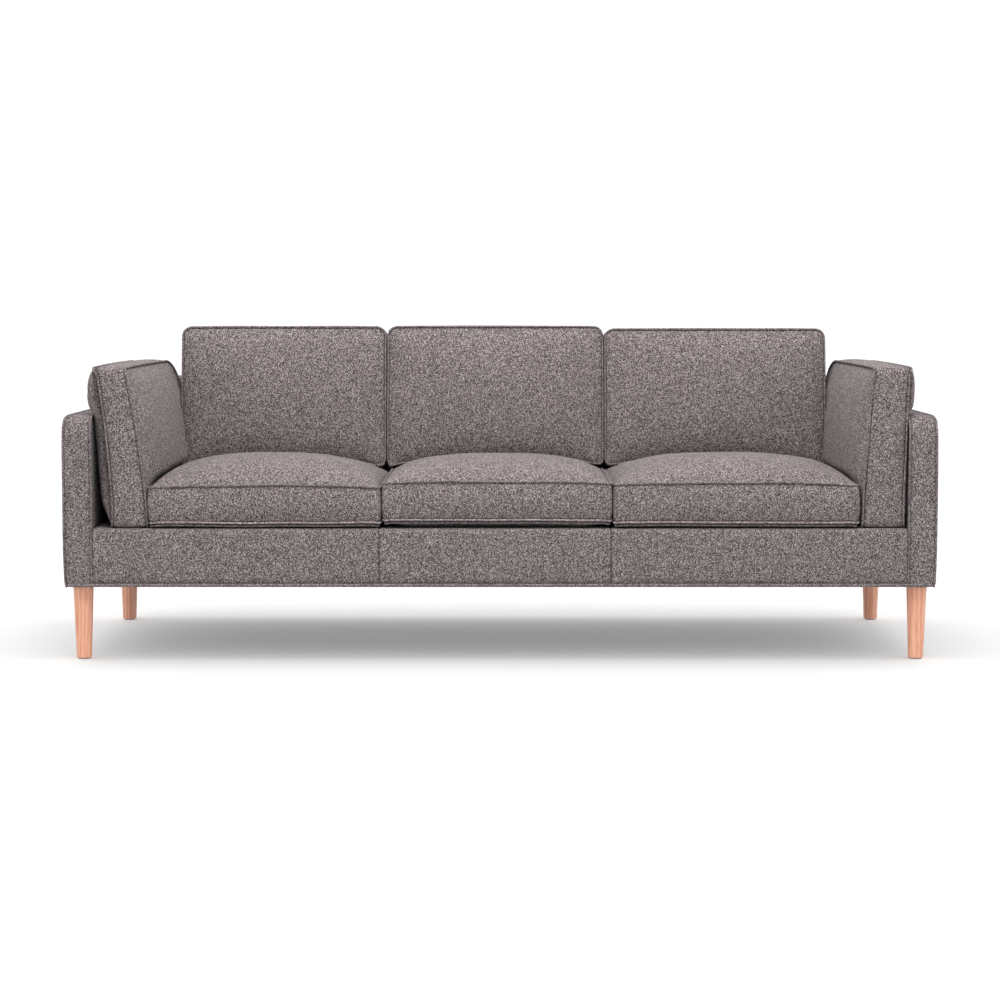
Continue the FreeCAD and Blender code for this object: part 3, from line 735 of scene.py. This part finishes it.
def arm(name, side):
    """A slab arm: two panels and a band that runs up the front, over the top and down the rear."""
    lift = 0.001
    length, tall = 2 * HALF_DEPTH - 2 * WELT, ARM_TOP - BASE_BOTTOM - WELT - lift
    thickness = ARM_OUTSIDE - ARM_INSIDE - 2 * WELT
    pad = Pad(length, tall, thickness, ARM_CORNERS)
    a, b = pad.across()
    outer, inner = (pad.front, pad.rear) if side > 0 else (pad.rear, pad.front)
    dome = ((1 - np.abs(a) ** 6) * (1 - np.abs(b) ** 6)).clip(0) ** 0.6
    outer_crown, inner_crown = 0.0028, 0.0012
    pad.at[outer, 2] += side * outer_crown * dome[outer]
    pad.at[inner, 2] -= side * inner_crown * dome[inner]
    pad.swell_band(0.0026)
    pad.ripple(0.0006, 0.14, 30 + side)

    def place(at):
        # the outer panel is drawn in a little along its top and bottom, and its lower edge is tucked under
        b = 2 * at[:, 1] / tall - 1
        outward = side * (at[:, 2] / thickness - 0.5)
        brow = ((at[:, 1] - tall + 0.010) / 0.010).clip(0, 1)
        waist = (0.0034 * b ** 4 + 0.005 * brow ** 2) * (0.5 + outward).clip(0, 1)
        tuck = 0.0012 * (at[:, 1] < 0.006)
        x = side * (ARM_INSIDE + ARM_OUTSIDE) / 2 + (at[:, 2] - thickness / 2) - side * waist
        x = x - side * tuck * (outward > 0.3)
        y = (-HALF_DEPTH + WELT + at[:, 0]).clip(-HALF_DEPTH + WELT + tuck, HALF_DEPTH - WELT - tuck)
        return np.stack([x, y, BASE_BOTTOM + lift + at[:, 1]], 1)

    paths = {"right": place(pad.at[pad.front_seam]), "left": place(pad.at[pad.rear_seam])}
    pad.sewn_in(GROOVE * 0.5)
    # painted shade down in and beside the arm's seams
    made = new_object(f"{name}_arm_upholstery", place(pad.at), pad.faces, TWEED, seam_shade=pad.seam_shade(0.4))
    subdivide(made)
    finish_piece(made, "frame", "upholstery", f"{name}_arm_cover", f"{name}_arm_padding")
    for which, path in paths.items():
        add_welt(f"{name}_arm_{which}_welt", path)


def bend(centre, radius, start, stop, count):
    """Points of an arc in a plane, its angles in degrees."""
    return [
        (centre[0] + radius * math.cos(math.radians(t)), centre[1] + radius * math.sin(math.radians(t)))
        for t in np.linspace(start, stop, count)
    ]


def spread(start, stop, step=STEP):
    """Points along a straight stretch in a plane, without its ends."""
    start, stop = np.array(start), np.array(stop)
    count = max(1, round(float(np.linalg.norm(stop - start)) / step))
    return [tuple(start + (stop - start) * k / count) for k in range(1, count)]


def seamed_stations(x0, x1, seams):
    """X stations across a long cover, closer beside its seams and ends."""
    near, pitch = (0.0, 0.0015, 0.0035, 0.007), 0.016
    marks = [x0, *seams, x1]
    stations = set()
    for a, b in zip(marks, marks[1:]):
        stations.update([a + n for n in near] + [b - n for n in near])
        inner = b - a - 2 * near[-1]
        count = round(inner / pitch)
        stations.update(a + near[-1] + inner * k / count for k in range(1, count))
    return np.array(sorted(stations))


def seam_dip(x, seams, depth=0.0018, reach=0.0028):
    """How far a cover is drawn in beside its vertical seams."""
    return sum(depth * np.exp(-((x - s) / reach) ** 2) for s in seams)


def swept(name, profile, stations, sink, seams, closed=False):
    """A cover with one profile (Y, Z) all along X; sink moves its points, and its seams get painted shade."""
    rows, count = len(stations), len(profile)
    points = np.array([(x, y, z) for x in stations for y, z in profile])
    # painted shade along the vertical seams
    seam_shade = seam_dip(points[:, 0], seams, depth=0.8, reach=0.0024)
    faces = []
    for a in range(0, (rows - 1) * count, count):
        b = a + count
        for k in range(count if closed else count - 1):
            n = (k + 1) % count
            faces.append((a + k, b + k, b + n, a + n))
    if closed:
        faces.append(tuple(range(count)))
        faces.append(tuple(reversed(range((rows - 1) * count, rows * count))))
    return new_object(name, sink(points), faces, TWEED, seam_shade=seam_shade)


def front_band():
    """The front cover: from under the base, round its front, and back over the deck."""
    front, radius = -HALF_DEPTH + 0.0012, 0.013
    tuck, foot, foot_rear = front + 0.0048, BASE_BOTTOM + 0.0006, -0.402
    profile = [(foot_rear, foot), *spread((foot_rear, foot), (tuck, foot)), (tuck, foot)]
    profile += [(tuck, LIP - 0.001), (front + 0.003, LIP)]
    profile += spread((front, LIP - 0.001), (front, DECK - radius), 0.009)
    profile += bend((front + radius, DECK - radius), radius, 180, 90, 7)
    profile += spread((front + radius, DECK), (DECK_SEAM, DECK))
    profile += [(DECK_SEAM, DECK), (DECK_SEAM + 0.002, DECK - 0.002)]
    seams = (*BAND_SEAMS, *BAND_ENDS)

    def sink(p):
        dip = seam_dip(p[:, 0], seams)
        on_face = (p[:, 1] < front + 0.004) & (p[:, 2] > LIP - 0.002)
        bulge = 0.0018 * np.sin(math.pi * ((p[:, 2] - BASE_BOTTOM) / (DECK - BASE_BOTTOM)).clip(0, 1))
        p[:, 1] += np.where(on_face, dip - bulge, 0)
        p[:, 2] -= np.where(p[:, 2] > DECK - 0.006, dip, 0)
        return p

    stations = seamed_stations(*BAND_ENDS, BAND_SEAMS)
    made = swept("front_band", profile[::-1], stations, sink, seams)
    finish_piece(made, "frame", "upholstery", "front_rail_cover", "front_rail_padding")


def back_upholstery():
    """The back's cover: up the outside, over the top and down the slope of the inside."""
    rear = HALF_DEPTH - 0.0008
    lean = math.degrees(math.atan2(BACK_TOP_Y - BACK_FACE_Y, BACK_TOP - DECK))
    radius, rear_radius = 0.030, 0.008
    centre = (back_face(BACK_TOP - radius) + radius / math.cos(math.radians(lean)), BACK_TOP - radius)
    foot = (BACK_FACE_Y, DECK + 0.0008)
    profile = [(rear - 0.0006, BASE_BOTTOM + 0.0006), (rear - 0.0006, LIP - 0.0008), (rear - 0.0004, LIP)]
    profile += spread((rear, LIP - 0.001), (rear, BACK_TOP - rear_radius), 0.02)
    profile += bend((rear - rear_radius, BACK_TOP - rear_radius), rear_radius, 0, 90, 5)
    profile += spread((rear - rear_radius, BACK_TOP), (centre[0], BACK_TOP))
    profile += bend(centre, radius, 90, 180 - lean, 8)
    profile += spread(profile[-1], foot, 0.02)
    profile += [foot, (rear - 0.0012, DECK + 0.0008)]
    end = ARM_INSIDE - 0.0006

    def sink(p):
        dip = seam_dip(p[:, 0], BAND_SEAMS, depth=0.0007)
        ends = seam_dip(p[:, 0], BAND_ENDS, depth=0.0007, reach=0.005)
        outer = (p[:, 1] > rear - 0.001) & (p[:, 2] > LIP)
        p[:, 1] -= np.where(outer, dip + ends, 0)
        top = p[:, 2] > BACK_TOP - 0.004
        p[:, 2] -= np.where(top, dip + ends, 0)
        inside = ~outer & ~top & (p[:, 1] < back_face(p[:, 2]) + 0.004)
        p[:, 1] += np.where(inside, dip, 0)
        return p

    stations = seamed_stations(-end, end, BAND_SEAMS)
    made = swept("back_upholstery", profile[::-1], stations, sink, BAND_SEAMS, closed=True)
    finish_piece(made, "frame", "upholstery", "back_cover", "back_padding", "outside_back_panel")
    xs = np.linspace(-ARM_INSIDE + 0.003, ARM_INSIDE - 0.003, 120)
    add_welt("back_top_welt", [(x, rear - 0.0005, BACK_TOP - 0.0045) for x in xs], closed=False)


def cloth_over(name, xs, ys, height, material, facing_up=True):
    """A rectangle of cloth over a grid of places, with a height for each."""
    points = [(x, y, height(x, y)) for x in xs for y in ys]
    count = len(ys)
    faces = []
    for a in range(0, (len(xs) - 1) * count, count):
        for k in range(a, a + count - 1):
            quad = (k, k + count, k + count + 1, k + 1)
            faces.append(quad if facing_up else (quad[0], *quad[:0:-1]))
    return new_object(name, points, faces, material)


def deck():
    """The platform cloth that the seat cushions lie on, a little slack over its pad."""
    xs = np.linspace(-ARM_INSIDE + 0.001, ARM_INSIDE - 0.001, 110)
    ys = np.linspace(DECK_SEAM, BACK_FACE_Y - 0.001, 44)
    sag = 0.0005

    def height(x, y):
        uneven = 1 + noise.noise(Vector((x * 6, y * 6, 3.0)))
        return DECK - GAP - sag * uneven * math.sin(math.pi * (y - ys[0]) / (ys[-1] - ys[0]))

    made = cloth_over("deck_platform", xs, ys, height, DECK_CLOTH)
    finish_piece(made, "frame", "deck_cloth", "deck_cloth")


def underside():
    """Black dust cloth stapled under the base, hanging a millimetre or two slack between its staples."""
    x_end, y0, y1 = ARM_INSIDE - 0.006, -0.400, 0.436
    edge, sag = 0.035, 0.0016

    def height(x, y):
        near = min(x_end - abs(x), y - y0, y1 - y)
        slack = sag * min(1.0, near / edge) * (1 + 0.6 * noise.noise(Vector((x * 5, y * 5, 9.0))))
        return BASE_BOTTOM - GAP - slack

    xs, ys = np.linspace(-x_end, x_end, 120), np.linspace(y0, y1, 50)
    made = cloth_over("dust_cloth", xs, ys, height, DUST_CLOTH, facing_up=False)
    finish_piece(made, "frame", "dust_cover", "dust_cover")

    half_wire, half_crown, pitch, from_edge = 0.0005, 0.005, 0.055, 0.008
    along_x = (half_crown, half_wire)
    staples = [(x, y, along_x) for x in np.arange(-x_end + 0.02, x_end - 0.01, pitch)
               for y in (y0 + from_edge, y1 - from_edge)]
    staples += [(x, y, along_x[::-1]) for y in np.arange(y0 + 0.04, y1 - 0.03, pitch)
                for x in (-x_end + from_edge, x_end - from_edge)]
    quads = ((3, 2, 1, 0), (4, 5, 6, 7), (0, 1, 5, 4), (1, 2, 6, 5), (2, 3, 7, 6), (3, 0, 4, 7))
    corners, faces = [], []
    for x, y, half in staples:
        faces += [tuple(len(corners) + q for q in quad) for quad in quads]
        for dz in (-0.0012, -0.0002):
            corners += [(x + sx * half[0], y + sy * half[1], BASE_BOTTOM + dz)
                        for sx, sy in ((-1, -1), (1, -1), (1, 1), (-1, 1))]
    finish_piece(new_object("staples", corners, faces, PLATED_STEEL, smooth=False), "frame", "plated_steel")


def base_welt():
    """Thick piping round the bottom edge of the whole sofa."""
    x, y, radius = ARM_OUTSIDE - 0.0128, HALF_DEPTH - 0.0040, 0.006
    path = []
    for cx, cy, start in ((1, 1, 0), (-1, 1, 90), (-1, -1, 180), (1, -1, 270)):
        path += bend((cx * (x - radius), cy * (y - radius)), radius, start, start + 90, 5)
    dense = []
    for p, q in zip(path, path[1:] + path[:1]):
        dense += [p] + spread(p, q, 0.02)
    add_welt("base_welt", [(px, py, BASE_BOTTOM + BASE_WELT) for px, py in dense], radius=BASE_WELT)


# -------------------------------------------------------------------------------- camera, floor and light

def area_light(name, width, depth, watts, location, tilt=0.0):
    lamp = bpy.data.objects.new(name, bpy.data.lights.new(name, "AREA"))
    lamp.data.shape = "RECTANGLE"
    lamp.data.size, lamp.data.size_y = width, depth
    lamp.data.energy = watts
    lamp.location = location
    lamp.rotation_euler = (tilt, 0, 0)
    bpy.context.collection.objects.link(lamp)
    return lamp


def add_camera():
    """A long lens in front of the sofa, a little above its seats and looking slightly down."""
    camera = bpy.data.objects.new("camera", bpy.data.cameras.new("camera"))
    camera.data.lens = 89.28
    camera.data.sensor_width = 36.0
    camera.location = (0.0, -6.707, 0.913)
    camera.rotation_euler = (math.radians(90 - 4.588), 0, 0)
    bpy.context.collection.objects.link(camera)
    bpy.context.scene.camera = camera


def add_floor():
    """A pale floor, lit a little from within, so that it fades into the white round it."""
    material, tree, shader = new_material("floor")
    speck = noise_node(tree, object_coordinates(tree), 40.0, 2.0).outputs["Fac"]
    tree.links.new(ramp(tree, speck, (0.3, 0.80), (0.7, 0.82)), shader.inputs["Base Color"])
    shader.inputs["Emission Color"].default_value = (1, 1, 1, 1)
    shader.inputs["Emission Strength"].default_value = 0.2
    shader.inputs["Roughness"].default_value = 0.9
    shader.inputs["Specular IOR Level"].default_value = 0.1
    reach = 30.0
    corners = [(-reach, -reach, 0), (reach, -reach, 0), (reach, reach, 0), (-reach, reach, 0)]
    floor = new_object("floor", corners, [(0, 1, 2, 3)], material, smooth=False)
    return floor


def stage():
    add_camera()
    floor = add_floor()
    world = bpy.data.worlds.new("studio")
    world.use_nodes = True
    world.node_tree.nodes["Background"].inputs["Color"].default_value = (1, 1, 1, 1)
    world.node_tree.nodes["Background"].inputs["Strength"].default_value = 1.06
    bpy.context.scene.world = world

    area_light("overhead", 4.0, 2.2, 25.0, (0, 0, 3.0))
    key = area_light("key", 3.2, 1.8, 150.0, (0, -1.9, 4.1), math.atan2(1.8, 3.6))
    unlit = bpy.data.collections.new("not_lit_by_key")
    unlit.objects.link(floor)
    key.light_linking.receiver_collection = unlit
    unlit.collection_objects[0].light_linking.link_state = "EXCLUDE"
    bpy.context.scene.view_settings.view_transform = "Standard"
    bpy.context.scene.view_settings.look = "None"


stage()
for build, places in ((seat_cushion, SEATS), (back_cushion, BACKS), (bolster, BOLSTERS)):
    for seed, side in enumerate(places):
        build(side, seed)
arm("left", -1)
arm("right", 1)
front_band()
back_upholstery()
deck()
underside()
base_welt()
inflate_all()
for made, *_ in SIMULATED:
    subdivide(made)
